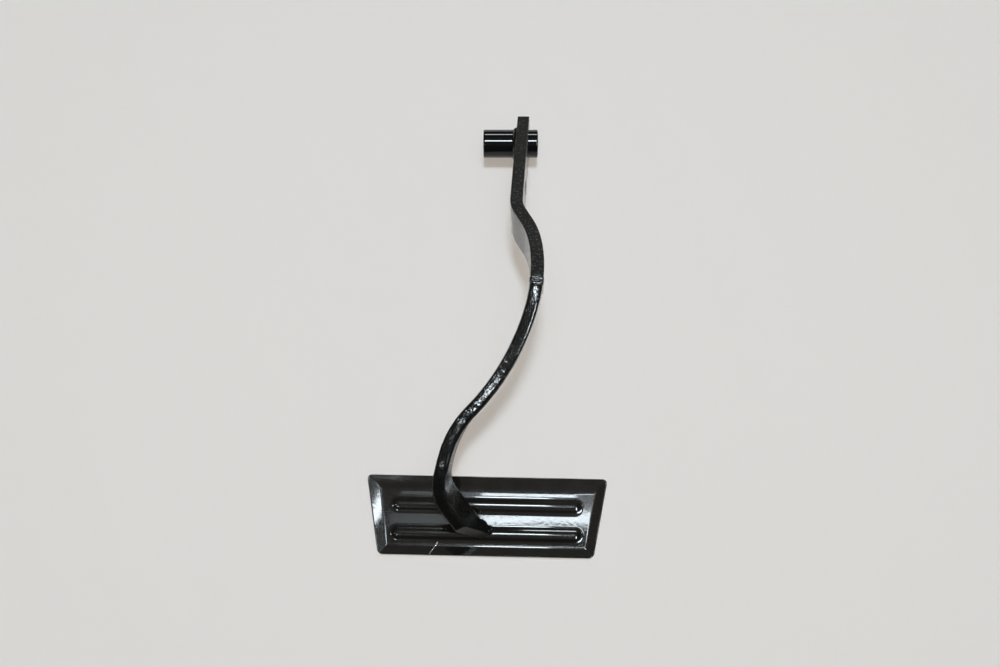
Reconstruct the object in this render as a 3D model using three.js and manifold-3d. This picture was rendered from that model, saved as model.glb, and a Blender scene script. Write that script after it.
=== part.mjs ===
// A hanging foot pedal lever: a pivot sleeve with two bushes, a bent flat-bar arm and a wide foot plate.
// It lies as it would on a bench, with the plate flat, the sleeve along X and the arm arching over Y.
// Millimetres, +Z up. The origin is under the middle of the whole lever, on the surface it lies on.
import * as THREE from 'three';
import { mergeVertices } from 'three/addons/utils/BufferGeometryUtils.js';
import Module from 'manifold-3d';

const wasm = await Module();
wasm.setup();

// Arm: one flat bar, bent on its flat and on its edge. Its upper length keeps the sheared corners,
// and its lower length has rounded ones.
const BAR_THICKNESS = 8.4;
const BAR_WIDTH = 28;
const SHEARED_EDGE = 0.5;
const ROUNDED_EDGE = 2.2;

// Where the bar starts, at its front edge, and how it is turned there.
const PIVOT_END = [17, 315, 24.5];
const PIVOT_HEADING = -4.5;
const PIVOT_RISE = 29.5;
const PIVOT_LEAN = 4.5;

// Bends along the front edge, from the pivot end to the foot. A positive side bend turns towards +X,
// and a positive edge bend turns down, in the bar's own plane.
const BENDS = [
  { length: 59, side: 0, edge: 0 },
  { length: 31, side: 0, edge: 5 },
  { length: 11, side: 26, edge: -4 },
  { length: 12, side: 0, edge: -2 },
  { length: 25, side: -17, edge: 15 },
  { length: 44, side: -24, edge: 29 },
  { length: 74, side: -27, edge: 9 },
  { length: 34, side: 30, edge: -10 },
  { length: 14, side: 1, edge: 14 },
  { length: 24, side: 45, edge: 11 },
  { length: 62, side: 0, edge: 0 },
];

// The foot end is cut off at an angle to the front edge, starting here.
const NOSE_AT = 343;
const NOSE_ANGLE = 43;

// Fillet weld round the arm's foot, which touches the arm from here on.
const FOOT_WELD_LEG = 5;
const FOOT_WELD_RIPPLE = 4;
const FOOT_FROM = 300;

// Butt weld that joins the two lengths of the arm. It swells between its two ends.
const SPLICE_AT = 160;
const SPLICE_LENGTH = 6;
const SPLICE_PROUD = 0.8;
const SPLICE_EDGE = 2;
const SPLICE_RINGS = [0, 0.2, 0.5, 0.8, 1];

// How much a weld bead swells and shrinks at each ripple, and how small its tips get.
const RIPPLE_DEPTH = 0.06;
const BEAD_TIP = 0.3;

// Pivot sleeve, its bushes and its weld.
const SLEEVE_AT = 14;
const SLEEVE_RADIUS = 10;
const SLEEVE_BORE = 7.5;
const SLEEVE_LEFT = 28.5;
const SLEEVE_RIGHT = 10.5;
const SLEEVE_CHAMFER = 0.7;
const BUSH_BORE = 6;
const BUSH_LENGTH = 14;
const BUSH_RECESS = 1;
const BUSH_CHAMFER = 0.4;

// The weld between the sleeve and the arm. Its angles run from the top towards the bar's end.
const SLEEVE_WELD_LEG = 3;
const SLEEVE_WELD_RIPPLE = 3.5;
const SLEEVE_WELD_FROM = -50;
const SLEEVE_WELD_TO = 175;

// Hole for the pushrod's clevis pin, through the straight part of the arm.
const PUSHROD_AT = 64;
const PUSHROD_RADIUS = 5;

// Foot plate: a pressed sheet with turned-up borders and two swaged ribs.
const PLATE_TOP_WIDTH = 165;
const PLATE_BOTTOM_WIDTH = 145.5;
const PLATE_HEIGHT = 53.4;
const PLATE_SHEET = 2.6;
const PLATE_CENTRE = [-9.2, 31.8];
const PLATE_TURN = -1.2;
const BORDER_WIDTH = 6.5;
const BORDER_RISE = 1.8;
const BORDER_EDGE = 0.5;
const BEND_INSET = 0.6;
const CORNER_RADIUS = 3.5;
const TIGHTEST_CORNER = 1.5;
const RIB_RISE = 1.9;
const RIBS = [
  { y: 7.2, length: 132, width: 12.4 },
  { y: -12, length: 132, width: 12.4 },
];

// Clearance between neighbouring sub-parts.
const GAP = 0.3;

// Facets of the round shapes, and the longest step along a bend.
const BEND_STEP = 4;
const CLOSEST_RINGS = 1;
const BAR_CORNER_STEPS = 3;
const PLATE_CORNER_STEPS = 4;
const TUBE_SEGMENTS = 48;
const PIN_SEGMENTS = 40;
const DOME_SEGMENTS = 32;
const DOME_RINGS = 8;
const BEAD_SIDES = 14;
const RINGS_PER_RIPPLE = 6;
const SLEEVE_WELD_POINTS = 24;

// Blocks and pins that only cut. They reach well past what they cut.
const FLOOR_BLOCK = 400;
const NOSE_BLOCK = 120;
const PLATE_CUT_DEPTH = 60;
const PIN_LENGTH = 80;

// The arm's foot comes down on the lower rib, this far up its rise.
const LANDING_ON_RIB = 0.8;

const BAR_LENGTH = BENDS.reduce((sum, bend) => sum + bend.length, 0);
const LANDING_HEIGHT = PLATE_SHEET + LANDING_ON_RIB * RIB_RISE;
const UP = new THREE.Vector3(0, 0, 1);
const SAME_POINT = 1e-4;

// ---------------------------------------------------------------- solids

function toSolid(geometry) {
  const bare = geometry.index ? geometry.toNonIndexed() : geometry.clone();
  bare.deleteAttribute('normal');
  bare.deleteAttribute('uv');
  const merged = mergeVertices(bare, SAME_POINT);
  const vertProperties = new Float32Array(merged.attributes.position.array);
  const triVerts = new Uint32Array(merged.index.array);
  return new wasm.Manifold(new wasm.Mesh({ numProp: 3, vertProperties, triVerts }));
}

function toGeometry(solid) {
  const { vertProperties, triVerts } = solid.getMesh();
  const geometry = new THREE.BufferGeometry();
  geometry.setAttribute('position', new THREE.BufferAttribute(new Float32Array(vertProperties), 3));
  geometry.setIndex(new THREE.BufferAttribute(new Uint32Array(triVerts), 1));
  return geometry;
}

// A closed skin over a row of rings with equal point counts. Convex ends are closed with a fan.
function loft(rings) {
  const count = rings[0].length;
  const points = rings.flat();
  const faces = [];
  for (let r = 0; r < rings.length - 1; r += 1) {
    for (let i = 0; i < count; i += 1) {
      const a = r * count + i;
      const b = r * count + ((i + 1) % count);
      faces.push(a, b, b + count, a, b + count, a + count);
    }
  }
  const last = (rings.length - 1) * count;
  for (let i = 1; i < count - 1; i += 1) {
    faces.push(0, i + 1, i);
    faces.push(last, last + i, last + i + 1);
  }
  const geometry = new THREE.BufferGeometry().setFromPoints(points);
  geometry.setIndex(faces);
  return toSolid(geometry);
}

// A cylinder's or lathed profile's solid, with its length along X and its middle at a point.
function alongX(geometry, centre) {
  return toSolid(geometry.clone().rotateZ(-Math.PI / 2).translate(...centre));
}

// ---------------------------------------------------------------- the arm's bent path

function turn(frame, side, edge) {
  const across = frame.back.clone().negate();
  frame.along.applyAxisAngle(across, side);
  frame.out.applyAxisAngle(across, side);
  frame.along.applyAxisAngle(frame.out, edge);
  frame.back.applyAxisAngle(frame.out, edge);
}

function follow(frame, bend, run) {
  const steps = Math.max(1, Math.ceil(run / BEND_STEP));
  const side = THREE.MathUtils.degToRad(bend.side) * run / bend.length / steps;
  const edge = THREE.MathUtils.degToRad(bend.edge) * run / bend.length / steps;
  for (let i = 0; i < steps; i += 1) {
    turn(frame, side / 2, edge / 2);
    frame.point.addScaledVector(frame.along, run / steps);
    turn(frame, side / 2, edge / 2);
  }
}

// The bar's frame at a distance from the pivot end: along it, out to its right face, and back across it.
function barFrame(distance) {
  const frame = {
    point: new THREE.Vector3(...PIVOT_END),
    along: new THREE.Vector3(0, -1, 0),
    back: new THREE.Vector3(0, 0, -1),
    out: new THREE.Vector3(1, 0, 0),
  };
  frame.along.applyAxisAngle(UP, THREE.MathUtils.degToRad(PIVOT_HEADING));
  frame.out.applyAxisAngle(UP, THREE.MathUtils.degToRad(PIVOT_HEADING));
  turn(frame, 0, -THREE.MathUtils.degToRad(PIVOT_RISE));
  frame.out.applyAxisAngle(frame.along, THREE.MathUtils.degToRad(PIVOT_LEAN));
  frame.back.applyAxisAngle(frame.along, THREE.MathUtils.degToRad(PIVOT_LEAN));
  let left = distance;
  for (const bend of BENDS) {
    const run = Math.min(left, bend.length);
    if (run > 0) follow(frame, bend, run);
    left -= run;
  }
  return frame;
}

// The distances that a stretch of bar needs rings at: its ends, and steps where it bends.
function ringDistances(from, to) {
  const distances = [from];
  let start = 0;
  for (const bend of BENDS) {
    const steps = bend.side || bend.edge ? Math.ceil(bend.length / BEND_STEP) : 1;
    for (let i = 1; i <= steps; i += 1) {
      const at = start + bend.length * i / steps;
      if (at > from + CLOSEST_RINGS && at < to - CLOSEST_RINGS) distances.push(at);
    }
    start += bend.length;
  }
  distances.push(to);
  return distances;
}

// A point of the bar, `across` from its front edge towards its back and `out` from its mid-thickness.
function barPoint(frame, across, out) {
  return frame.point.clone().addScaledVector(frame.back, across).addScaledVector(frame.out, out);
}

// The bar's section: a rectangle with rounded corners, grown on all sides by `grow`.
function sectionRing(frame, radius, grow) {
  const cornerSteps = radius === SHEARED_EDGE ? 1 : BAR_CORNER_STEPS;
  const halfWidth = BAR_WIDTH / 2 + grow - radius;
  const halfThickness = BAR_THICKNESS / 2 + grow - radius;
  const ring = [];
  for (let corner = 0; corner < 4; corner += 1) {
    const u = corner === 0 || corner === 3 ? halfWidth : -halfWidth;
    const v = corner < 2 ? halfThickness : -halfThickness;
    for (let i = 0; i <= cornerSteps; i += 1) {
      const angle = (corner + i / cornerSteps) * Math.PI / 2;
      const across = BAR_WIDTH / 2 + u + radius * Math.cos(angle);
      const out = v + radius * Math.sin(angle);
      ring.push(barPoint(frame, across, out));
    }
  }
  return ring;
}

function bar(from, to, radius, grow = 0) {
  return loft(ringDistances(from, to).map((at) => sectionRing(barFrame(at), radius, grow)));
}

// ---------------------------------------------------------------- the foot plate

// A rounded trapezoid `inset` inside the plate's edge, at a height.
function plateRing(inset, height) {
  const slope = (PLATE_TOP_WIDTH - PLATE_BOTTOM_WIDTH) / 2 / PLATE_HEIGHT;
  const side = Math.hypot(1, slope);
  const radius = Math.max(CORNER_RADIUS - inset, TIGHTEST_CORNER);
  const reach = inset + radius;
  const top = PLATE_HEIGHT / 2 - reach;
  const middle = (PLATE_TOP_WIDTH + PLATE_BOTTOM_WIDTH) / 4 - reach * side;
  const corners = [[1, 1], [-1, 1], [-1, -1], [1, -1]];
  const ring = [];
  corners.forEach(([right, up], corner) => {
    const x = right * (middle + up * top * slope);
    for (let i = 0; i <= PLATE_CORNER_STEPS; i += 1) {
      const angle = (corner + i / PLATE_CORNER_STEPS) * Math.PI / 2;
      const y = up * top + radius * Math.sin(angle);
      ring.push(new THREE.Vector3(x + radius * Math.cos(angle), y, height));
    }
  });
  return ring;
}

// A rib's round-ended dome. Its circle passes through the rib's edges and its crown.
function ribDome(rib, grow) {
  const sphere = (rib.width ** 2 / 4 + RIB_RISE ** 2) / (2 * RIB_RISE);
  const centreHeight = PLATE_SHEET + RIB_RISE - sphere;
  const straight = rib.length - rib.width;
  const capsule = new THREE.CapsuleGeometry(sphere + grow, straight, DOME_RINGS, DOME_SEGMENTS);
  return alongX(capsule, [0, rib.y, centreHeight]);
}

function placeOnPlate(solid) {
  return solid.rotate([0, 0, PLATE_TURN]).translate([...PLATE_CENTRE, 0]);
}

function pressedSheet() {
  const block = new THREE.BoxGeometry(FLOOR_BLOCK, FLOOR_BLOCK, FLOOR_BLOCK);
  const aboveFloor = toSolid(block.translate(0, 0, FLOOR_BLOCK / 2));
  const borderTop = BORDER_RISE + PLATE_SHEET;
  let sheet = loft([
    plateRing(BORDER_WIDTH, 0),
    plateRing(BORDER_EDGE, BORDER_RISE),
    plateRing(0, BORDER_RISE + BORDER_EDGE),
    plateRing(0, borderTop - BORDER_EDGE),
    plateRing(BORDER_EDGE, borderTop),
    plateRing(BORDER_WIDTH + BEND_INSET, PLATE_SHEET),
  ]);
  for (const rib of RIBS) sheet = sheet.add(ribDome(rib, 0).intersect(aboveFloor));
  for (const rib of RIBS) sheet = sheet.subtract(ribDome(rib, -PLATE_SHEET));
  return placeOnPlate(sheet);
}

// Everything at or under the plate's upper surface, plus a gap. What stands on the plate is cut by it.
function underPlateTop() {
  let block = loft([
    plateRing(-GAP, -PLATE_CUT_DEPTH),
    plateRing(-GAP, BORDER_RISE + PLATE_SHEET + GAP),
    plateRing(BORDER_WIDTH + BEND_INSET, PLATE_SHEET + GAP),
  ]);
  for (const rib of RIBS) block = block.add(ribDome(rib, GAP));
  return placeOnPlate(block);
}

// ---------------------------------------------------------------- sub-parts

const material = (color, roughness, metalness = 0) => (
  new THREE.MeshStandardMaterial({ color, roughness, metalness })
);
const barPaint = material(0x1b1c1f, 0.42);
const glossPaint = material(0x0c0d0f, 0.18);
const platePaint = material(0x131517, 0.3);
const bushBronze = material(0x8c6a3a, 0.45, 1);

const assembly = new THREE.Group();

function addPart(name, solid, look) {
  const mesh = new THREE.Mesh(toGeometry(solid), look);
  mesh.name = name;
  assembly.add(mesh);
}

const sleeveFrame = barFrame(SLEEVE_AT);
const sleeveCentre = barPoint(sleeveFrame, BAR_WIDTH / 2, 0);

// The angled end cut starts at the front edge here, and runs across the bar in this direction.
const noseFrame = barFrame(NOSE_AT);
const noseCut = noseFrame.along.clone()
  .applyAxisAngle(noseFrame.out, THREE.MathUtils.degToRad(NOSE_ANGLE));

// A tube along X with chamfered ends, from its left end to its right end.
function tube(outer, inner, left, right, chamfer) {
  const half = (right - left) / 2;
  const profile = [
    [inner, -half], [outer - chamfer, -half], [outer, -half + chamfer],
    [outer, half - chamfer], [outer - chamfer, half], [inner, half], [inner, -half],
  ].map(([radius, along]) => new THREE.Vector2(radius, along));
  const middle = sleeveCentre.clone();
  middle.x += (left + right) / 2;
  return alongX(new THREE.LatheGeometry(profile, TUBE_SEGMENTS), middle);
}

function crossPin(centre, radius, direction) {
  const pin = new THREE.CylinderGeometry(radius, radius, PIN_LENGTH, PIN_SEGMENTS);
  const tilt = new THREE.Quaternion().setFromUnitVectors(new THREE.Vector3(0, 1, 0), direction);
  return toSolid(pin.applyQuaternion(tilt).translate(...centre));
}

// A lumpy bead of weld along a curve, with round ends.
function weldBead(curve, radius, ripple) {
  const length = curve.getLength();
  const ripples = Math.round(length / ripple);
  const steps = Math.max(ripples, 2) * RINGS_PER_RIPPLE;
  const frames = curve.computeFrenetFrames(steps, false);
  const rings = [];
  for (let i = 0; i <= steps; i += 1) {
    const fromEnd = Math.min(i, steps - i) / steps * length;
    const short = Math.max(0, 1 - fromEnd / radius);
    const lump = 1 + RIPPLE_DEPTH * Math.cos(2 * Math.PI * ripples * i / steps);
    const size = radius * lump * Math.max(Math.sqrt(1 - short ** 2), BEAD_TIP);
    const centre = curve.getPointAt(i / steps);
    const ring = [];
    for (let k = 0; k < BEAD_SIDES; k += 1) {
      const angle = 2 * Math.PI * k / BEAD_SIDES;
      ring.push(centre.clone()
        .addScaledVector(frames.normals[i], size * Math.cos(angle))
        .addScaledVector(frames.binormals[i], size * Math.sin(angle)));
    }
    rings.push(ring);
  }
  return loft(rings);
}

// Follows a direction from a point of the bar's foot until it comes down on the lower rib.
function landing(across, out, direction = noseFrame.along) {
  const point = barPoint(noseFrame, across, out);
  return point.addScaledVector(direction, (LANDING_HEIGHT - point.z) / direction.z);
}

// What lies beyond the angled cut at the foot end of the bar, or beyond a plane `gap` past it.
function noseWaste(gap = 0) {
  const away = noseFrame.out.clone().cross(noseCut).negate();
  const place = new THREE.Matrix4().makeBasis(away, noseCut, away.clone().cross(noseCut));
  place.setPosition(noseFrame.point.clone().addScaledVector(away, NOSE_BLOCK / 2 + gap));
  return toSolid(new THREE.BoxGeometry(NOSE_BLOCK, 2 * NOSE_BLOCK, NOSE_BLOCK).applyMatrix4(place));
}

function sleeveHole() {
  return crossPin(sleeveCentre, SLEEVE_RADIUS + GAP, new THREE.Vector3(1, 0, 0));
}

function addArm() {
  const pinFrame = barFrame(PUSHROD_AT);
  const pushrodHole = crossPin(barPoint(pinFrame, BAR_WIDTH / 2, 0), PUSHROD_RADIUS, pinFrame.out);
  const upper = bar(0, SPLICE_AT - SPLICE_LENGTH / 2 - GAP, SHEARED_EDGE);
  addPart('upper_lever', upper.subtract(sleeveHole()).subtract(pushrodHole), barPaint);
  const lower = bar(SPLICE_AT + SPLICE_LENGTH / 2 + GAP, BAR_LENGTH, ROUNDED_EDGE);
  addPart('lower_lever', lower.subtract(noseWaste()).subtract(underPlateTop()), glossPaint);
  const from = SPLICE_AT - SPLICE_LENGTH / 2;
  const bead = loft(SPLICE_RINGS.map((t) => (
    sectionRing(barFrame(from + SPLICE_LENGTH * t), SPLICE_EDGE, SPLICE_PROUD * Math.sin(Math.PI * t))
  )));
  addPart('splice_weld', bead, glossPaint);
}

function addPivot() {
  const sleeve = tube(SLEEVE_RADIUS, SLEEVE_BORE, -SLEEVE_LEFT, SLEEVE_RIGHT, SLEEVE_CHAMFER);
  addPart('pivot_sleeve', sleeve, glossPaint);
  const bush = (left) => tube(SLEEVE_BORE - GAP, BUSH_BORE, left, left + BUSH_LENGTH, BUSH_CHAMFER);
  addPart('pivot_bush_left', bush(-SLEEVE_LEFT + BUSH_RECESS), bushBronze);
  addPart('pivot_bush_right', bush(SLEEVE_RIGHT - BUSH_RECESS - BUSH_LENGTH), bushBronze);
  addPart('sleeve_weld', sleeveWeld(), glossPaint);
}

// The bead round the sleeve, against the bar's left face.
function sleeveWeld() {
  const face = barPoint(sleeveFrame, BAR_WIDTH / 2, -BAR_THICKNESS / 2);
  const up = UP.clone().projectOnPlane(sleeveFrame.out).normalize();
  const rear = up.clone().cross(sleeveFrame.out).negate();
  const points = [];
  for (let i = 0; i <= SLEEVE_WELD_POINTS; i += 1) {
    const turned = THREE.MathUtils.lerp(SLEEVE_WELD_FROM, SLEEVE_WELD_TO, i / SLEEVE_WELD_POINTS);
    const angle = THREE.MathUtils.degToRad(turned);
    points.push(face.clone()
      .addScaledVector(up, SLEEVE_RADIUS * Math.cos(angle))
      .addScaledVector(rear, SLEEVE_RADIUS * Math.sin(angle)));
  }
  return weldBead(new THREE.CatmullRomCurve3(points), SLEEVE_WELD_LEG, SLEEVE_WELD_RIPPLE)
    .subtract(sleeveHole())
    .subtract(bar(0, PUSHROD_AT, SHEARED_EDGE, GAP));
}

// Fillets along both sides and the back of the arm's foot, run into one bead.
function footWeld() {
  const side = BAR_THICKNESS / 2;
  const bead = (from, to) => (
    weldBead(new THREE.LineCurve3(from, to), FOOT_WELD_LEG, FOOT_WELD_RIPPLE)
  );
  const rightHeel = landing(BAR_WIDTH, side);
  const leftHeel = landing(BAR_WIDTH, -side);
  return bead(rightHeel, landing(0, side, noseCut))
    .add(bead(leftHeel, landing(0, -side, noseCut)))
    .add(bead(leftHeel, rightHeel))
    .subtract(bar(FOOT_FROM, BAR_LENGTH, ROUNDED_EDGE, GAP).subtract(noseWaste(GAP)))
    .subtract(underPlateTop());
}

function addFoot() {
  addPart('foot_plate', pressedSheet(), platePaint);
  addPart('foot_weld', footWeld(), glossPaint);
}

addArm();
addPivot();
addFoot();

const bounds = new THREE.Box3().setFromObject(assembly);
const centre = bounds.getCenter(new THREE.Vector3());
assembly.position.set(-centre.x, -centre.y, -bounds.min.z);

const pedalLever = new THREE.Group();
pedalLever.add(assembly);

export default pedalLever;
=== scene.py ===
"""A hanging foot pedal lever in black paint, around its CAD frame. Metres, +Z up, +Y towards the pivot."""

import math

import bmesh
import bpy
from mathutils import Matrix, Vector, noise


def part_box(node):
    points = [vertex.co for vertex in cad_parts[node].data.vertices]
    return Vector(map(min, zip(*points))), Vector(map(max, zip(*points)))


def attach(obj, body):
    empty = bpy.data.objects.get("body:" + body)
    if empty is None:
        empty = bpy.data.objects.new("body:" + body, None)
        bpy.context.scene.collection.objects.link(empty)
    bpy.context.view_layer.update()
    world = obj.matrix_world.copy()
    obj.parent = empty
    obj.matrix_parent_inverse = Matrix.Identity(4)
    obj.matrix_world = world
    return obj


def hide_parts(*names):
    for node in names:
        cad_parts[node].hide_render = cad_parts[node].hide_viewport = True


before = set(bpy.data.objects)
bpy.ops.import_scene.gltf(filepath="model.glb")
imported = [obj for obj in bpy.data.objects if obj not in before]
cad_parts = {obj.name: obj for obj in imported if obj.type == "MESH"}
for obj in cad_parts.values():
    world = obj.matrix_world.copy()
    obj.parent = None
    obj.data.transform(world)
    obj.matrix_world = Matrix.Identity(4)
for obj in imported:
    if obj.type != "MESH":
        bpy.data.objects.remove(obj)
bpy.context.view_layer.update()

MM = 0.001
DEG = math.pi / 180

# The arm's flat bar, as in the CAD model.
BAR_THICKNESS = 8.4 * MM
BAR_WIDTH = 28 * MM
SHEARED_EDGE = 0.5 * MM
ROUNDED_EDGE = 2.2 * MM
PIVOT_END = Vector((17, 315, 24.5)) * MM
PIVOT_HEADING = -4.5
PIVOT_RISE = 29.5
PIVOT_LEAN = 4.5
BENDS = [  # length in mm, side bend and edge bend in degrees
    (59, 0, 0), (31, 0, 5), (11, 26, -4), (12, 0, -2), (25, -17, 15), (44, -24, 29),
    (74, -27, 9), (34, 30, -10), (14, 1, 14), (24, 45, 11), (62, 0, 0),
]
BEND_STEP = 4
NOSE_AT = 343
NOSE_ANGLE = 43
SPLICE_AT = 160
SPLICE_LENGTH = 6
SPLICE_PROUD = 0.55 * MM
PUSHROD_AT = 64
PUSHROD_RADIUS = 5 * MM
DRILL_LENGTH = 60 * MM
KNEE_AT = 238  # the bend above the plate, where the top edge glints
DULL_FROM = 254  # the gloss fades along the bar from here to the next
DULL_TO = 266

# The pivot sleeve, its bushes and its weld.
SLEEVE_AT = 14
SLEEVE_RADIUS = 10 * MM
SLEEVE_BORE = 7.5 * MM
SLEEVE_LEFT = 28.5 * MM
SLEEVE_WELD_FROM = -50
SLEEVE_WELD_TO = 175
SLEEVE_WELD_RADIUS = 2.9 * MM
SLEEVE_WELD_ROOT = 8.2 * MM  # within the tube's wall
BUSH_WALL = 1.2 * MM
BUSH_SLIT = 0.03  # in radians

# The foot plate.
PLATE_TOP_WIDTH = 165 * MM
PLATE_BOTTOM_WIDTH = 145.5 * MM
PLATE_HEIGHT = 53.4 * MM
PLATE_SHEET = 2.6 * MM
PLATE_CENTRE = Vector((-9.2, 31.8, 0)) * MM
PLATE_TURN = -1.2
BORDER_WIDTH = 6.5 * MM
BORDER_RISE = 1.8 * MM
LEFT_BORDER_FLARE = 2 * MM
BORDER_BEND = 0.8 * MM
TOP_BORDER_BEND = 4.5 * MM
CORNER_RADIUS = 3.5 * MM
LIFT_FROM = 10 * MM
LIFT_BEND = 1.5 * MM
LIFT_SLOPE = 0.0138
RIB_LENGTH = 132 * MM
RIB_WIDTH = 12.4 * MM
RIB_CROWN = 3.2 * MM
RIBS = [(7.2 * MM, 1.4 * MM), (-12 * MM, 1.7 * MM)]  # height up the plate, and rise
RIM_ROUNDING = 0.45 * MM
RIM_CLEARANCE = 0.15 * MM  # keeps the rim within the CAD plate's outline
LANDING_HEIGHT = 4.1 * MM
BAR_ROOT = 2.9 * MM  # how far down the bar runs, hidden in the rib
FOOT_WELD_RADIUS = 4.4 * MM
FOOT_WELD_ROOT = 2.2 * MM  # within the sheet's thickness, both in its flat and in its ribs

# The bare scratch on the foot plate, from the plate's lower left corner.
SCRATCH_START = Vector((34.5, 1.8, 0)) * MM
SCRATCH_END = Vector((40, 9.5, 0)) * MM
SCRATCH_WIDTH = 0.42 * MM


# ---------------------------------------------------------------- the arm's bent path

def turn(station, side, edge):
    point, along, back, out = station
    swing = Matrix.Rotation(side, 3, -back)
    along = swing @ along
    out = swing @ out
    tip = Matrix.Rotation(edge, 3, out)
    return [point, tip @ along, tip @ back, out]


def bar_station(distance):
    """The bar's front edge at a distance in mm: its point, and the directions along, back and out."""
    heading = Matrix.Rotation(PIVOT_HEADING * DEG, 3, "Z")
    station = [PIVOT_END, heading @ Vector((0, -1, 0)), Vector((0, 0, -1)), heading @ Vector((1, 0, 0))]
    station = turn(station, 0, -PIVOT_RISE * DEG)
    lean = Matrix.Rotation(PIVOT_LEAN * DEG, 3, station[1])
    station[2] = lean @ station[2]
    station[3] = lean @ station[3]
    left = distance
    for length, side, edge in BENDS:
        run = min(left, length)
        if run > 0:
            steps = max(1, math.ceil(run / BEND_STEP))
            share = run / length / steps * DEG / 2
            for _ in range(steps):
                station = turn(station, side * share, edge * share)
                station[0] = station[0] + station[1] * (run / steps * MM)
                station = turn(station, side * share, edge * share)
        left -= run
    return station


def bar_point(distance, across, out):
    point, _, back, side = bar_station(distance)
    return point + back * across + side * out


# The row's origin is under the middle of the lever, so the path is moved by where the CAD sleeve lies.
sleeve_low, sleeve_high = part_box("pivot_sleeve")
sleeve_drawn = bar_point(SLEEVE_AT, BAR_WIDTH / 2, 0)
SLEEVE_LENGTH = sleeve_high.x - sleeve_low.x
ORIGIN = Vector((
    sleeve_low.x + SLEEVE_LEFT - sleeve_drawn.x,
    (sleeve_low.y + sleeve_high.y) / 2 - sleeve_drawn.y,
    (sleeve_low.z + sleeve_high.z) / 2 - sleeve_drawn.z,
))
PIVOT_END = PIVOT_END + ORIGIN
PLATE_CENTRE = PLATE_CENTRE + ORIGIN
SLEEVE_CENTRE = sleeve_drawn + ORIGIN


# ---------------------------------------------------------------- camera, light and floor

CAMERA_HEIGHT = 0.692
CAMERA_TILT = 13


def add_camera():
    data = bpy.data.cameras.new("camera")
    data.lens = 36
    data.sensor_width = 36
    data.clip_start = 0.01
    camera = bpy.data.objects.new("camera", data)
    camera.location = ORIGIN + Vector((0, 0, CAMERA_HEIGHT))
    camera.rotation_euler = (CAMERA_TILT * DEG, 0, 0)
    bpy.context.scene.collection.objects.link(camera)
    bpy.context.scene.camera = camera


def add_light(name, location, aim, size, radiance, color, shine=True, shade=True, shadow=True):
    """A flat lamp, level along X. It may show in reflections only, or light surfaces only."""
    data = bpy.data.lights.new(name, "AREA")
    data.shape = "RECTANGLE"
    data.size, data.size_y = size
    data.energy = radiance * math.pi * size[0] * size[1]
    data.color = color
    data.use_shadow = shadow
    light = bpy.data.objects.new(name, data)
    away = (location - aim).normalized()
    level = (Vector((1, 0, 0)) - away * away.x).normalized()
    light.location = location
    light.rotation_euler = Matrix((level, away.cross(level), away)).transposed().to_euler()
    light.visible_glossy = shine
    light.visible_diffuse = shade
    bpy.context.scene.collection.objects.link(light)


def add_lights():
    aim = Vector((0, 0, 0))
    cool = (0.84, 0.94, 1.0)
    warm = (1.0, 0.915, 0.81)
    ceiling = 4.7
    add_light("batten", Vector((0.27, 0.075, ceiling)), aim, (0.72, 0.054), 30, cool)
    add_light("batten_glow", Vector((0.27, 0.125, ceiling)), aim, (0.72, 0.2), 2.2, cool)
    add_light("batten_far_end", Vector((-0.33, 0.07, ceiling)), aim, (0.5, 0.08), 1.6, cool)
    add_light("batten_side", Vector((1.5, 0.46, ceiling)), aim, (0.36, 0.09), 34, cool)
    add_light("panel_rear", Vector((1.1, 4.08, 2.5)), aim, (2.7, 0.7), 14, cool, shade=False)
    above_sleeve = SLEEVE_CENTRE + Vector((0.01, 0, 1.2))
    add_light("panel_near", above_sleeve, SLEEVE_CENTRE, (0.14, 0.18), 38, cool, shade=False)
    add_light("dim_ceiling", Vector((0, 0, 5)), aim, (7.5, 7.5), 0.14, warm, shade=False)
    splice = bar_point(SPLICE_AT, 0, 0)
    add_light("strip_right", splice + Vector((0.95, -0.75, 2)), splice, (0.32, 1.0), 40, cool, shade=False)
    knee = bar_point(KNEE_AT, 0, 0)
    add_light("strip_left", knee + Vector((-0.62, -1.08, 2)), knee, (0.28, 0.2), 28, cool, shade=False)
    add_light("spark_left", knee + Vector((-1.63, -0.27, 2)), knee, (0.12, 0.12), 110, cool, shade=False)
    add_light("key", Vector((0.02, 0.2, 2.6)), aim, (0.28, 0.28), 84, (0.8, 0.92, 1.0), shine=False)
    add_light("pool", Vector((0, 0, 1.1)), aim, (0.6, 0.6), 0.9, (1, 1, 1), shine=False, shadow=False)
    for name, side in (("fill_left", -5.6), ("fill_right", 5.6)):
        add_light(name, Vector((side, -0.5, 2.4)), aim, (4.2, 2.8), 5.8, warm, shine=False, shadow=False)
    world = bpy.data.worlds.new("room")
    world.use_nodes = True
    background = world.node_tree.nodes["Background"]
    background.inputs["Color"].default_value = (*warm, 1)
    background.inputs["Strength"].default_value = 0.05
    bpy.context.scene.world = world
    bpy.context.scene.view_settings.view_transform = "Standard"


def add_floor():
    mesh = bpy.data.meshes.new("floor")
    reach = 3
    corners = [(-reach, -reach, 0), (reach, -reach, 0), (reach, reach, 0), (-reach, reach, 0)]
    mesh.from_pydata(corners, [], [(0, 1, 2, 3)])
    floor = bpy.data.objects.new("floor", mesh)
    bpy.context.scene.collection.objects.link(floor)
    material, shader, _ = new_material("floor_paper")
    shader.inputs["Base Color"].default_value = (0.862, 0.85, 0.852, 1)
    shader.inputs["Roughness"].default_value = 0.9
    shader.inputs["Specular IOR Level"].default_value = 0.2
    mesh.materials.append(material)


# ---------------------------------------------------------------- materials

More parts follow.
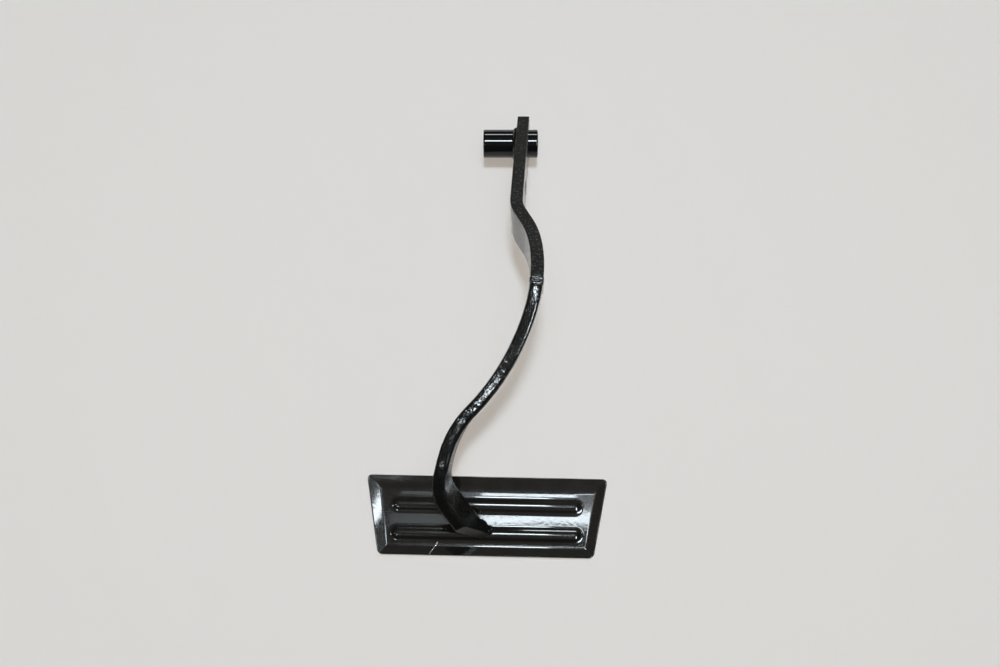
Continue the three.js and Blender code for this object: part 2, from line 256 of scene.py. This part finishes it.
class Nodes:
    """Short ways to add nodes to a material's tree."""

    def __init__(self, tree):
        self.tree = tree
        self.position = tree.nodes.new("ShaderNodeTexCoord").outputs["Object"]

    def add(self, kind, inputs=None, **settings):
        node = self.tree.nodes.new(kind)
        for key, value in settings.items():
            setattr(node, key, value)
        for key, value in (inputs or {}).items():
            self.feed(node.inputs[key], value)
        return node

    def feed(self, socket, value):
        if isinstance(value, bpy.types.NodeSocket):
            self.tree.links.new(value, socket)
        else:
            socket.default_value = value

    def math(self, operation, a, b=0.0):
        return self.add("ShaderNodeMath", {0: a, 1: b}, operation=operation).outputs[0]

    def vector(self, operation, a, b=(0, 0, 0)):
        return self.add("ShaderNodeVectorMath", {0: a, 1: b}, operation=operation)

    def noise(self, scale, detail=2.0, roughness=0.5, stretch=None):
        place = self.position
        if stretch:
            place = self.vector("MULTIPLY", place, stretch).outputs[0]
        inputs = {"Vector": place, "Scale": scale, "Detail": detail, "Roughness": roughness}
        return self.add("ShaderNodeTexNoise", inputs).outputs["Fac"]

    def ramp(self, value, low, high, to_low=0.0, to_high=1.0):
        inputs = {"Value": value, "From Min": low, "From Max": high, "To Min": to_low, "To Max": to_high}
        return self.add("ShaderNodeMapRange", inputs, clamp=True).outputs["Result"]

    def mix(self, share, low, high):
        node = self.tree.nodes.new("ShaderNodeMix")
        node.data_type = "RGBA"
        self.feed(node.inputs["Factor"], share)
        self.feed(node.inputs["A"], low)
        self.feed(node.inputs["B"], high)
        return node.outputs["Result"]

    def bumps(self, *layers):
        """Bump nodes stacked on each other: each layer is a height and its depth in metres."""
        normal = None
        for height, depth in layers:
            inputs = {"Height": height, "Distance": depth, "Strength": 1.0}
            if normal:
                inputs["Normal"] = normal
            normal = self.add("ShaderNodeBump", inputs).outputs["Normal"]
        return normal

    def height_up_the_row(self):
        return self.add("ShaderNodeSeparateXYZ", {"Vector": self.position}).outputs["Y"]

    def segment(self, start, end, width):
        """1 on a thin line between two points of the plate, seen from above, and 0 off it."""
        flat = self.vector("MULTIPLY", self.position, (1, 1, 0)).outputs[0]
        span = Vector((end[0] - start[0], end[1] - start[1], 0))
        here = self.vector("SUBTRACT", flat, (start[0], start[1], 0)).outputs[0]
        share = self.vector("DOT_PRODUCT", here, span / span.length_squared).outputs["Value"]
        share = self.add("ShaderNodeClamp", {"Value": share}).outputs[0]
        reach = self.add("ShaderNodeVectorMath", {0: span, "Scale": share}, operation="SCALE").outputs[0]
        off = self.vector("LENGTH", self.vector("SUBTRACT", here, reach).outputs[0]).outputs["Value"]
        return self.ramp(off, width * 0.4, width, 1.0, 0.0)


def new_material(name):
    material = bpy.data.materials.new(name)
    material.use_nodes = True
    tree = material.node_tree
    return material, tree.nodes["Principled BSDF"], Nodes(tree)


def gloss_coat(shader, weight, roughness, ior=1.5):
    shader.inputs["Coat Weight"].default_value = weight
    shader.inputs["Coat Roughness"].default_value = roughness
    shader.inputs["Coat IOR"].default_value = ior


def gloss_paint():
    """Glossy black paint on the hand-finished lower bar and the welds: uneven, with small dust bumps."""
    material, shader, nodes = new_material("gloss_black")
    shade = nodes.mix(nodes.noise(90, 3), (0.003, 0.003, 0.003, 1), (0.007, 0.007, 0.007, 1))
    nodes.feed(shader.inputs["Base Color"], shade)
    nodes.feed(shader.inputs["Roughness"], nodes.ramp(nodes.noise(260, 4), 0.3, 0.7, 0.2, 0.4))
    shader.inputs["Specular IOR Level"].default_value = 0.05
    dull_from = bar_point(DULL_FROM, 0, 0).y
    dull_to = bar_point(DULL_TO, 0, 0).y
    dull = nodes.ramp(nodes.height_up_the_row(), dull_to, dull_from, 1.0, 0.0)
    gloss_coat(shader, 1.0, 0.06)
    nodes.feed(shader.inputs["Coat Weight"], nodes.math("SUBTRACT", 1.0, nodes.math("MULTIPLY", dull, 0.8)))
    wave = nodes.noise(240, 2)
    grit = nodes.ramp(nodes.noise(900, 2), 0.55, 0.8)
    nodes.feed(shader.inputs["Normal"], nodes.bumps((wave, 0.00022), (grit, 0.00008)))
    nodes.feed(shader.inputs["Coat Normal"], nodes.bumps((wave, 0.0002), (grit, 0.00006)))
    return material


def flat_paint():
    """Even satin black on the upper bar's flats."""
    material, shader, nodes = new_material("flat_black")
    shader.inputs["Specular IOR Level"].default_value = 0.3
    base = nodes.mix(nodes.noise(120, 3), (0.008, 0.008, 0.008, 1), (0.014, 0.014, 0.014, 1))
    nodes.feed(shader.inputs["Base Color"], base)
    nodes.feed(shader.inputs["Roughness"], nodes.ramp(nodes.noise(300, 3), 0.3, 0.7, 0.3, 0.4))
    gloss_coat(shader, 0.7, 0.12)
    nodes.feed(shader.inputs["Normal"], nodes.bumps((nodes.noise(500, 2), 0.00002)))
    return material


def edge_paint(name, lightness):
    """Satin black paint over a sheared edge: fine grain and pale specks of dust."""
    material, shader, nodes = new_material(name)
    grain = nodes.noise(1500, 5, 0.7)
    speck = nodes.ramp(nodes.noise(900, 2, 0.6), 0.57, 0.68)
    dark = (0.7 * lightness, 0.68 * lightness, 0.6 * lightness, 1)
    light = (1.4 * lightness, 1.35 * lightness, 1.2 * lightness, 1)
    base = nodes.mix(nodes.noise(160, 4), dark, light)
    shader.inputs["Specular IOR Level"].default_value = 0.13
    nodes.feed(shader.inputs["Base Color"], nodes.mix(speck, base, (0.09, 0.088, 0.082, 1)))
    nodes.feed(shader.inputs["Roughness"], nodes.ramp(grain, 0.3, 0.7, 0.32, 0.5))
    nodes.feed(shader.inputs["Normal"], nodes.bumps((grain, 0.00016), (nodes.noise(300, 2), 0.0001)))
    return material


def sleeve_paint():
    """Deep gloss over a turned tube: nearly mirror smooth, with faint turning rings."""
    material, shader, nodes = new_material("sleeve_black")
    shader.inputs["Base Color"].default_value = (0.004, 0.004, 0.005, 1)
    shader.inputs["Specular IOR Level"].default_value = 0.0
    nodes.feed(shader.inputs["Roughness"], nodes.ramp(nodes.noise(200, 3), 0.3, 0.7, 0.1, 0.2))
    gloss_coat(shader, 1.0, 0.02, 1.42)
    rings = nodes.noise(700, 2, 0.5, (1, 0.02, 0.02))
    peel = nodes.noise(500, 1)
    nodes.feed(shader.inputs["Normal"], nodes.bumps((rings, 0.00001), (peel, 0.000012)))
    nodes.feed(shader.inputs["Coat Normal"], nodes.bumps((peel, 0.000004)))
    return material


def plate_paint():
    """Semi-gloss black over pressed sheet: soft waves, hair scratches, and one scratch down to the steel."""
    material, shader, nodes = new_material("plate_black")
    corner = PLATE_CENTRE - Vector((PLATE_BOTTOM_WIDTH / 2, PLATE_HEIGHT / 2, 0))
    scratch = nodes.segment(corner + SCRATCH_START, corner + SCRATCH_END, SCRATCH_WIDTH)
    broken = nodes.ramp(nodes.noise(900, 2), 0.3, 0.5)
    scratch = nodes.math("MULTIPLY", scratch, broken)
    hairs = nodes.ramp(nodes.noise(60, 3, 0.6, (0.6, 14, 1)), 0.7, 0.76)
    shade = nodes.mix(nodes.noise(50, 4), (0.004, 0.0038, 0.0034, 1), (0.008, 0.0076, 0.0068, 1))
    shade = nodes.mix(nodes.math("MULTIPLY", hairs, 0.25), shade, (0.05, 0.055, 0.06, 1))
    nodes.feed(shader.inputs["Base Color"], nodes.mix(scratch, shade, (0.75, 0.78, 0.82, 1)))
    rough = nodes.ramp(nodes.noise(130, 5, 0.6), 0.25, 0.75, 0.16, 0.26)
    shader.inputs["Specular IOR Level"].default_value = 0.2
    nodes.feed(shader.inputs["Roughness"], nodes.math("ADD", rough, nodes.math("MULTIPLY", hairs, 0.15)))
    nodes.feed(shader.inputs["Metallic"], scratch)
    gloss_coat(shader, 0.9, 0.045)
    peel = nodes.noise(420, 2)
    waves = nodes.noise(22, 1)
    groove = nodes.math("MULTIPLY", scratch, -1.0)
    nodes.feed(shader.inputs["Normal"], nodes.bumps((waves, 0.00005), (peel, 0.00003), (groove, 0.0002)))
    nodes.feed(shader.inputs["Coat Normal"], nodes.bumps((waves, 0.00005), (peel, 0.000006)))
    return material


def bush_bronze():
    """Plain sintered bronze with a slightly oily, grainy face."""
    material, shader, nodes = new_material("bush_bronze")
    shade = nodes.mix(nodes.noise(800, 4), (0.32, 0.2, 0.09, 1), (0.5, 0.34, 0.16, 1))
    nodes.feed(shader.inputs["Base Color"], shade)
    shader.inputs["Metallic"].default_value = 1
    nodes.feed(shader.inputs["Roughness"], nodes.ramp(nodes.noise(1200, 3), 0.3, 0.7, 0.3, 0.5))
    nodes.feed(shader.inputs["Normal"], nodes.bumps((nodes.noise(2500, 3), 0.00003)))
    return material


# ---------------------------------------------------------------- mesh helpers

def object_from(name, points, faces):
    mesh = bpy.data.meshes.new(name)
    mesh.from_pydata([tuple(p) for p in points], [], faces)
    mesh.validate()
    piece = bpy.data.objects.new(name, mesh)
    bpy.context.scene.collection.objects.link(piece)
    return piece


def ring_faces(rings, count, closed=False):
    faces = []
    for r in range(rings if closed else rings - 1):
        low = r * count
        high = (r + 1) % rings * count
        for i in range(count):
            j = (i + 1) % count
            faces.append((low + i, low + j, high + j, high + i))
    return faces


def loft(name, rings, closed=False):
    """A closed skin over rings of points. Open ends get flat caps."""
    count = len(rings[0])
    faces = ring_faces(len(rings), count, closed)
    if not closed:
        faces.append(tuple(reversed(range(count))))
        faces.append(tuple(range((len(rings) - 1) * count, len(rings) * count)))
    piece = object_from(name, [p for ring in rings for p in ring], faces)
    face_outwards(piece)
    return piece


def face_outwards(piece):
    shape = bmesh.new()
    shape.from_mesh(piece.data)
    bmesh.ops.recalc_face_normals(shape, faces=shape.faces)
    shape.to_mesh(piece.data)
    shape.free()


def cut(piece, cutter):
    """Cuts one object out of another and deletes it."""
    modifier = piece.modifiers.new("cut", "BOOLEAN")
    modifier.operation = "DIFFERENCE"
    modifier.solver = "EXACT"
    modifier.object = cutter
    bake_modifiers(piece)
    bpy.data.objects.remove(cutter)


def bake_modifiers(piece):
    depsgraph = bpy.context.evaluated_depsgraph_get()
    baked = bpy.data.meshes.new_from_object(piece.evaluated_get(depsgraph))
    piece.modifiers.clear()
    piece.data = baked


def smooth(piece, angle=35):
    piece.data.shade_smooth()
    piece.data.set_sharp_from_angle(angle=angle * DEG)


def rod(name, centre, direction, radius, length, sides):
    turn_to = direction.to_track_quat("Z", "Y")
    angles = [2 * math.pi * k / sides for k in range(sides)]
    rings = []
    for end in (-0.5, 0.5):
        circle = [Vector((radius * math.cos(a), radius * math.sin(a), length * end)) for a in angles]
        rings.append([centre + turn_to @ p for p in circle])
    return loft(name, rings)


def finish_piece(piece, node, materials, angle=35):
    for material in materials:
        piece.data.materials.append(material)
    smooth(piece, angle)
    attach(piece, "root")
    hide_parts(node)


def roughen(piece, depth, scale, seed):
    """Moves each vertex along its normal by smooth noise."""
    offset = Vector((seed, 2 * seed, 3 * seed))
    normals = [v.normal.copy() for v in piece.data.vertices]
    for vertex, normal in zip(piece.data.vertices, normals):
        vertex.co += normal * depth * noise.noise(vertex.co * scale + offset)


# ---------------------------------------------------------------- the arm

def section(station, radius, grow, corner_steps, side_steps):
    """A ring round the bar: a rounded rectangle grown by `grow`, with extra points along its long sides."""
    point, _, back, out = station
    half_width = BAR_WIDTH / 2 + grow - radius
    half_thickness = BAR_THICKNESS / 2 + grow - radius
    corners = ((1, 1), (-1, 1), (-1, -1), (1, -1))
    ring = []
    for index, (u, v) in enumerate(corners):
        for i in range(corner_steps + 1):
            angle = (index + i / corner_steps) * math.pi / 2
            across = BAR_WIDTH / 2 + u * half_width + radius * math.cos(angle)
            ring.append((across, v * half_thickness + radius * math.sin(angle)))
        following = corners[(index + 1) % 4]
        steps = side_steps if following[0] != u else max(2, side_steps // 3)
        start = ring[-1]
        angle = (index + 1) * math.pi / 2
        end = (BAR_WIDTH / 2 + following[0] * half_width + radius * math.cos(angle),
               following[1] * half_thickness + radius * math.sin(angle))
        for i in range(1, steps):
            t = i / steps
            ring.append((start[0] + (end[0] - start[0]) * t, start[1] + (end[1] - start[1]) * t))
    return [point + back * across + out * side for across, side in ring]


def bar_piece(name, start, end, radius, step, end_round):
    """A length of the bar with its end edges rounded."""
    rounding = [(0, -1), (0.08, -0.6), (0.3, -0.28), (0.6, -0.08), (1, 0)]
    stations = [(start + end_round / MM * t, end_round * g) for t, g in rounding]
    count = max(2, round((end - start) / step))
    inner = [start + (end - start) * i / count for i in range(1, count)]
    stations += [(at, 0) for at in inner]
    stations += [(end - end_round / MM * t, end_round * g) for t, g in reversed(rounding)]
    rings = [section(bar_station(at), radius, grow, 5, 12) for at, grow in stations]
    return loft(name, rings)


def mark_edges(piece, start, end, step=2):
    """Gives material 0 to the bar's flats, and material 1 to its narrow edges and square ends."""
    stations = [bar_station(start + i * step) for i in range(int((end - start) / step) + 1)]
    for polygon in piece.data.polygons:
        nearest = min(stations, key=lambda s: (s[0] + s[2] * BAR_WIDTH / 2 - polygon.center).length_squared)
        polygon.material_index = 0 if abs(polygon.normal.dot(nearest[3])) > 0.8 else 1


def add_upper_lever(materials):
    end = SPLICE_AT - SPLICE_LENGTH / 2
    piece = bar_piece("upper_lever_bar", 0, end, SHEARED_EDGE, 2, SHEARED_EDGE)
    across = Vector((1, 0, 0))
    cut(piece, rod("cutter", SLEEVE_CENTRE, across, SLEEVE_RADIUS + 0.05 * MM, DRILL_LENGTH, 128))
    hole = bar_station(PUSHROD_AT)
    centre = hole[0] + hole[2] * BAR_WIDTH / 2
    cut(piece, rod("cutter", centre, hole[3], PUSHROD_RADIUS, DRILL_LENGTH, 96))
    mark_edges(piece, 0, end)
    finish_piece(piece, "upper_lever", materials, 28)


def nose_plane():
    """A point on the angled end cut, and the direction that faces away from the bar."""
    point, along, _, out = bar_station(NOSE_AT)
    direction = Matrix.Rotation(NOSE_ANGLE * DEG, 3, out) @ along
    return point, direction, -out.cross(direction)


def slice_off(piece, point, away, round_edge=0.0):
    """Cuts off what lies on the far side of a plane, closes the cut and rounds its rim."""
    shape = bmesh.new()
    shape.from_mesh(piece.data)
    geometry = shape.verts[:] + shape.edges[:] + shape.faces[:]
    bmesh.ops.bisect_plane(shape, geom=geometry, plane_co=point, plane_no=away, clear_outer=True)
    rim = [e for e in shape.edges if e.is_boundary]
    bmesh.ops.contextual_create(shape, geom=rim)
    if round_edge:
        rim = [e for e in rim if e.is_valid]
        bmesh.ops.bevel(shape, geom=rim, offset=round_edge, segments=3, profile=0.5, affect="EDGES")
    bmesh.ops.recalc_face_normals(shape, faces=shape.faces)
    shape.to_mesh(piece.data)
    shape.free()


def add_lower_lever(materials):
    start = SPLICE_AT + SPLICE_LENGTH / 2
    total = sum(length for length, _, _ in BENDS)
    piece = bar_piece("lower_lever_bar", start, total, ROUNDED_EDGE, 1.5, 0.5 * MM)
    roughen(piece, 0.12 * MM, 260, 1)
    point, _, away = nose_plane()
    slice_off(piece, point, away, 0.4 * MM)
    slice_off(piece, Vector((0, 0, BAR_ROOT)), Vector((0, 0, -1)))
    for polygon in piece.data.polygons:
        polygon.material_index = 1 if polygon.normal.dot(away) > 0.98 else 0
    finish_piece(piece, "lower_lever", materials)


# ---------------------------------------------------------------- welds

def bead(name, points, radius, ripple, sides=20, lump=0.09):
    """A round weld bead along closely spaced points, with overlapping ripples and closed ends."""
    lengths = [0.0]
    for a, b in zip(points, points[1:]):
        lengths.append(lengths[-1] + (b - a).length)
    total = lengths[-1]
    along = (points[1] - points[0]).normalized()
    normal = along.orthogonal().normalized()
    rings = []
    for i, point in enumerate(points):
        ahead = (points[min(i + 1, len(points) - 1)] - points[max(i - 1, 0)]).normalized()
        normal = (normal - ahead * normal.dot(ahead)).normalized()
        side = ahead.cross(normal)
        short = max(0.0, 1 - min(lengths[i], total - lengths[i]) / radius)
        scale = 1 - lump * (lengths[i] / ripple % 1.0) ** 2
        size = radius * max(math.sqrt(max(0.0, 1 - short ** 2)), 0.2) * scale
        rings.append([
            point + (normal * math.cos(a) + side * math.sin(a)) * size
            for a in (2 * math.pi * k / sides for k in range(sides))
        ])
    return loft(name, rings)


def spread(start, end, step):
    count = max(2, round((end - start).length / step))
    return [start.lerp(end, i / count) for i in range(count + 1)]


def add_sleeve_weld(materials):
    _, _, _, out = bar_station(SLEEVE_AT)
    face = bar_point(SLEEVE_AT, BAR_WIDTH / 2, -BAR_THICKNESS / 2)
    up = (Vector((0, 0, 1)) - out * out.z).normalized()
    rear = -up.cross(out)
    points = []
    for i in range(201):
        angle = (SLEEVE_WELD_FROM + (SLEEVE_WELD_TO - SLEEVE_WELD_FROM) * i / 200) * DEG
        points.append(face + (up * math.cos(angle) + rear * math.sin(angle)) * SLEEVE_RADIUS)
    piece = bead("sleeve_weld_bead", points, SLEEVE_WELD_RADIUS, 2.6 * MM)
    roughen(piece, 0.35 * MM, 420, 2)
    for vertex in piece.data.vertices:
        reach = vertex.co - SLEEVE_CENTRE
        reach.x = 0
        if reach.length < SLEEVE_WELD_ROOT:
            vertex.co += reach.normalized() * (SLEEVE_WELD_ROOT - reach.length)
    finish_piece(piece, "sleeve_weld", materials, 60)


def add_splice_weld(materials):
    """A dressed butt weld all round the bar: slightly proud, with ripples left at its middle."""
    rings = []
    start = SPLICE_AT - SPLICE_LENGTH / 2
    count = 24
    for i in range(count + 1):
        t = i / count
        proud = SPLICE_PROUD * math.sin(math.pi * t) ** 0.7 * (0.8 + 0.2 * math.cos(6 * math.pi * t))
        rings.append(section(bar_station(start + SPLICE_LENGTH * t), 1.6 * MM, proud, 5, 20))
    piece = loft("splice_weld_bead", rings)
    roughen(piece, 0.18 * MM, 520, 3)
    finish_piece(piece, "splice_weld", materials, 60)


def landing(out):
    """Where the bar's back edge comes down on the plate's lower rib."""
    _, along, _, _ = bar_station(NOSE_AT)
    point = bar_point(NOSE_AT, BAR_WIDTH, out)
    return point + along * ((LANDING_HEIGHT - point.z) / along.z)


def toe(out):
    """Where the angled end cut comes down on the plate's lower rib."""
    _, direction, _ = nose_plane()
    point = bar_point(NOSE_AT, 0, out)
    return point + direction * ((LANDING_HEIGHT - point.z) / direction.z)


def add_foot_weld(materials):
    """Three beads round the arm's foot, melted into one lumpy fillet."""
    side = BAR_THICKNESS / 2
    runs = [(landing(side), toe(side)), (landing(-side), toe(-side)), (landing(-side), landing(side))]
    beads = [bead("foot_weld_run", spread(a, b, 0.3 * MM), FOOT_WELD_RADIUS, 3 * MM) for a, b in runs]
    points = []
    faces = []
    for run in beads:
        base = len(points)
        points += [v.co.copy() for v in run.data.vertices]
        faces += [tuple(base + i for i in p.vertices) for p in run.data.polygons]
        bpy.data.objects.remove(run)
    piece = object_from("foot_weld_bead", points, faces)
    modifier = piece.modifiers.new("melt", "REMESH")
    modifier.mode = "VOXEL"
    modifier.voxel_size = 0.4 * MM
    soften = piece.modifiers.new("soften", "SMOOTH")
    soften.iterations = 6
    soften.factor = 0.5
    bake_modifiers(piece)
    roughen(piece, 0.5 * MM, 380, 4)
    slice_off(piece, Vector((0, 0, FOOT_WELD_ROOT)), Vector((0, 0, -1)))
    finish_piece(piece, "foot_weld", materials, 70)


# ---------------------------------------------------------------- the pivot

def lathe(name, profile, centre, sides, gap=0.0):
    """Turns a closed profile of (radius, along X) points about the sleeve's axis. A gap leaves a slit."""
    rings = []
    count = sides + 1 if gap else sides
    for k in range(count):
        angle = gap / 2 + (2 * math.pi - gap) * k / sides
        rings.append([
            centre + Vector((along, radius * math.sin(angle), -radius * math.cos(angle)))
            for radius, along in profile
        ])
    return loft(name, rings, closed=not gap)


def tube_profile(outer, inner, start, end, outer_round, inner_round):
    """A tube's wall with rounded rims, as points round its section."""
    corners = [
        (outer - outer_round, start + outer_round, outer_round, math.pi),
        (outer - outer_round, end - outer_round, outer_round, math.pi / 2),
        (inner + inner_round, end - inner_round, inner_round, 0),
        (inner + inner_round, start + inner_round, inner_round, -math.pi / 2),
    ]
    profile = []
    for radius, along, size, first in corners:
        for i in range(7):
            angle = first - i / 6 * math.pi / 2
            profile.append((radius + size * math.sin(angle), along + size * math.cos(angle)))
    support = 0.25 * MM
    held = []
    for (radius, along), (next_radius, next_along) in zip(profile, profile[1:] + profile[:1]):
        held.append((radius, along))
        run = math.hypot(next_radius - radius, next_along - along)
        if run > 3 * support:
            for share in (support / run, 1 - support / run):
                held.append((radius + (next_radius - radius) * share, along + (next_along - along) * share))
    return held


def add_pivot(paint, bronze):
    left = -SLEEVE_LEFT
    right = left + SLEEVE_LENGTH
    profile = tube_profile(SLEEVE_RADIUS, SLEEVE_BORE, left, right, 0.9 * MM, 0.3 * MM)
    sleeve = lathe("pivot_sleeve_tube", profile, SLEEVE_CENTRE, 160)
    finish_piece(sleeve, "pivot_sleeve", [paint], 50)
    for name in ("pivot_bush_left", "pivot_bush_right"):
        low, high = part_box(name)
        outer = (high.z - low.z) / 2
        start = low.x - SLEEVE_CENTRE.x
        end = high.x - SLEEVE_CENTRE.x
        profile = tube_profile(outer, outer - BUSH_WALL, start, end, 0.3 * MM, 0.4 * MM)
        bush = lathe(name + "_ring", profile, SLEEVE_CENTRE, 120, gap=BUSH_SLIT)
        finish_piece(bush, name, [bronze], 40)


# ---------------------------------------------------------------- the foot plate

def rib_height(x, y):
    """The swaged ribs' height: a round crown that runs into a soft fillet at its steepest slope."""
    half_width = RIB_WIDTH / 2
    half_length = (RIB_LENGTH - RIB_WIDTH) / 2
    height = 0.0
    for offset, rise in RIBS:
        slope = math.sin(2 * math.atan(rise / half_width))
        crown = RIB_CROWN / slope
        fillet = (half_width - RIB_CROWN) / slope
        distance = math.hypot(max(0.0, abs(x) - half_length), y - offset)
        if distance < RIB_CROWN:
            height += rise - crown + math.sqrt(crown ** 2 - distance ** 2)
        elif distance < half_width:
            height += fillet - math.sqrt(fillet ** 2 - (half_width - distance) ** 2)
    return height


def border_height(x, y):
    """The turned-up border's height: a long easy bend at the top, and a tight one on the other sides."""
    slope = (PLATE_TOP_WIDTH - PLATE_BOTTOM_WIDTH) / 2 / PLATE_HEIGHT
    middle = (PLATE_TOP_WIDTH + PLATE_BOTTOM_WIDTH) / 4
    side_inset = (middle + slope * y - abs(x)) / math.hypot(1, slope)
    side_width = BORDER_WIDTH
    if x < 0:
        side_width += LEFT_BORDER_FLARE * (0.5 + y / PLATE_HEIGHT)
    sides = (
        (side_inset, side_width, BORDER_BEND),
        (PLATE_HEIGHT / 2 + y, BORDER_WIDTH, BORDER_BEND),
        (PLATE_HEIGHT / 2 - y, BORDER_WIDTH, TOP_BORDER_BEND),
    )
    height = 0.0
    for inset, width, bend in sides:
        over = width - inset
        bent = over if over > bend else max(0.0, over + bend) ** 2 / (4 * bend)
        height = max(height, BORDER_RISE / width * bent)
    return height


def pressing_lift(x, y):
    """A slight tilt of the sheet beyond the upper rib, from pressing it. It fades past the rib's ends."""
    over = y - LIFT_FROM
    if over <= 0:
        return 0.0
    rise = over ** 2 / (2 * LIFT_BEND) if over < LIFT_BEND else over - LIFT_BEND / 2
    fade = min(1.0, max(0.0, (abs(x) - 0.42 * RIB_LENGTH) / (0.1 * RIB_LENGTH)))
    return LIFT_SLOPE * rise * (1 - fade * fade * (3 - 2 * fade))


def plate_rows(inset):
    """Heights up the plate and the half-widths there, close together round the corners."""
    slope = (PLATE_TOP_WIDTH - PLATE_BOTTOM_WIDTH) / 2 / PLATE_HEIGHT
    middle = (PLATE_TOP_WIDTH + PLATE_BOTTOM_WIDTH) / 4
    half = PLATE_HEIGHT / 2 - inset
    radius = CORNER_RADIUS - inset
    corner_steps = 10
    corner = []
    for i in range(corner_steps + 1):
        angle = i / corner_steps * math.pi / 2
        corner.append((-half + radius * (1 - math.cos(angle)), radius * (1 - math.sin(angle))))
    inner_steps = 100
    low = corner[-1][0]
    inner = [(low - 2 * low * i / inner_steps, 0.0) for i in range(1, inner_steps)]
    rows = corner + inner + [(-y, pull) for y, pull in reversed(corner)]
    return [(y, middle + slope * y - inset * math.hypot(1, slope) - pull) for y, pull in rows]


def add_foot_plate(material):
    columns = 300
    step = 0.02 * MM
    rows = plate_rows(RIM_ROUNDING + RIM_CLEARANCE)
    upper = []
    lower = []
    for y, half in rows:
        for i in range(columns + 1):
            x = half * (2 * i / columns - 1)
            border = border_height(x, y) + pressing_lift(x, y)
            rib = rib_height(x, y)
            tilt_x = (rib_height(x + step, y) - rib_height(x - step, y)) / (2 * step)
            tilt_y = (rib_height(x, y + step) - rib_height(x, y - step)) / (2 * step)
            through = Vector((-tilt_x, -tilt_y, 1)).normalized() * PLATE_SHEET
            upper.append(Vector((x, y, PLATE_SHEET + border + rib)))
            lower.append(Vector((x, y, PLATE_SHEET + border + rib)) - through)
    width = columns + 1
    rim = list(range(width))
    rim += [r * width + columns for r in range(1, len(rows))]
    rim += [(len(rows) - 1) * width + i for i in range(columns - 1, -1, -1)]
    rim += [r * width for r in range(len(rows) - 2, 0, -1)]
    points = upper + lower
    faces = []
    for r in range(len(rows) - 1):
        for i in range(columns):
            a = r * width + i
            faces.append((a, a + 1, a + width + 1, a + width))
            b = a + len(upper)
            faces.append((b, b + width, b + width + 1, b + 1))
    bands = [rim]
    outward = [rim_direction(upper, rim, k) for k in range(len(rim))]
    for skin, side, angle in (
        (upper, 1, 30), (upper, 1, 60), (upper, 1, 90), (lower, -1, 90), (lower, -1, 120), (lower, -1, 150),
    ):
        sink = RIM_ROUNDING * (math.cos(angle * DEG) - side)
        band = []
        for k, index in enumerate(rim):
            band.append(len(points))
            edge = outward[k] * RIM_ROUNDING * math.sin(angle * DEG)
            points.append(skin[index] + edge + Vector((0, 0, sink)))
        bands.append(band)
    bands.append([index + len(upper) for index in rim])
    for low, high in zip(bands, bands[1:]):
        for k in range(len(rim)):
            following = (k + 1) % len(rim)
            faces.append((low[k], high[k], high[following], low[following]))
    placed = Matrix.Translation(PLATE_CENTRE) @ Matrix.Rotation(PLATE_TURN * DEG, 4, "Z")
    piece = object_from("foot_plate_pressing", [placed @ p for p in points], faces)
    face_outwards(piece)
    finish_piece(piece, "foot_plate", [material], 45)


def rim_direction(points, rim, k):
    """Level direction out of the plate at a point of its rim."""
    ahead = points[rim[(k + 1) % len(rim)]] - points[rim[k - 1]]
    return Vector((ahead.y, -ahead.x, 0)).normalized()


# ---------------------------------------------------------------- the scene

add_camera()
add_lights()
add_floor()

gloss = gloss_paint()
sheared = edge_paint("sheared_edge_black", 0.009)
# The nose facet takes the same edge paint, a little over twice as light.
nose = edge_paint("nose_cut_black", 0.02)
add_upper_lever([flat_paint(), sheared])
add_lower_lever([gloss, nose])
add_splice_weld([gloss])
add_sleeve_weld([gloss])
add_foot_weld([gloss])
add_pivot(sleeve_paint(), bush_bronze())
add_foot_plate(plate_paint())
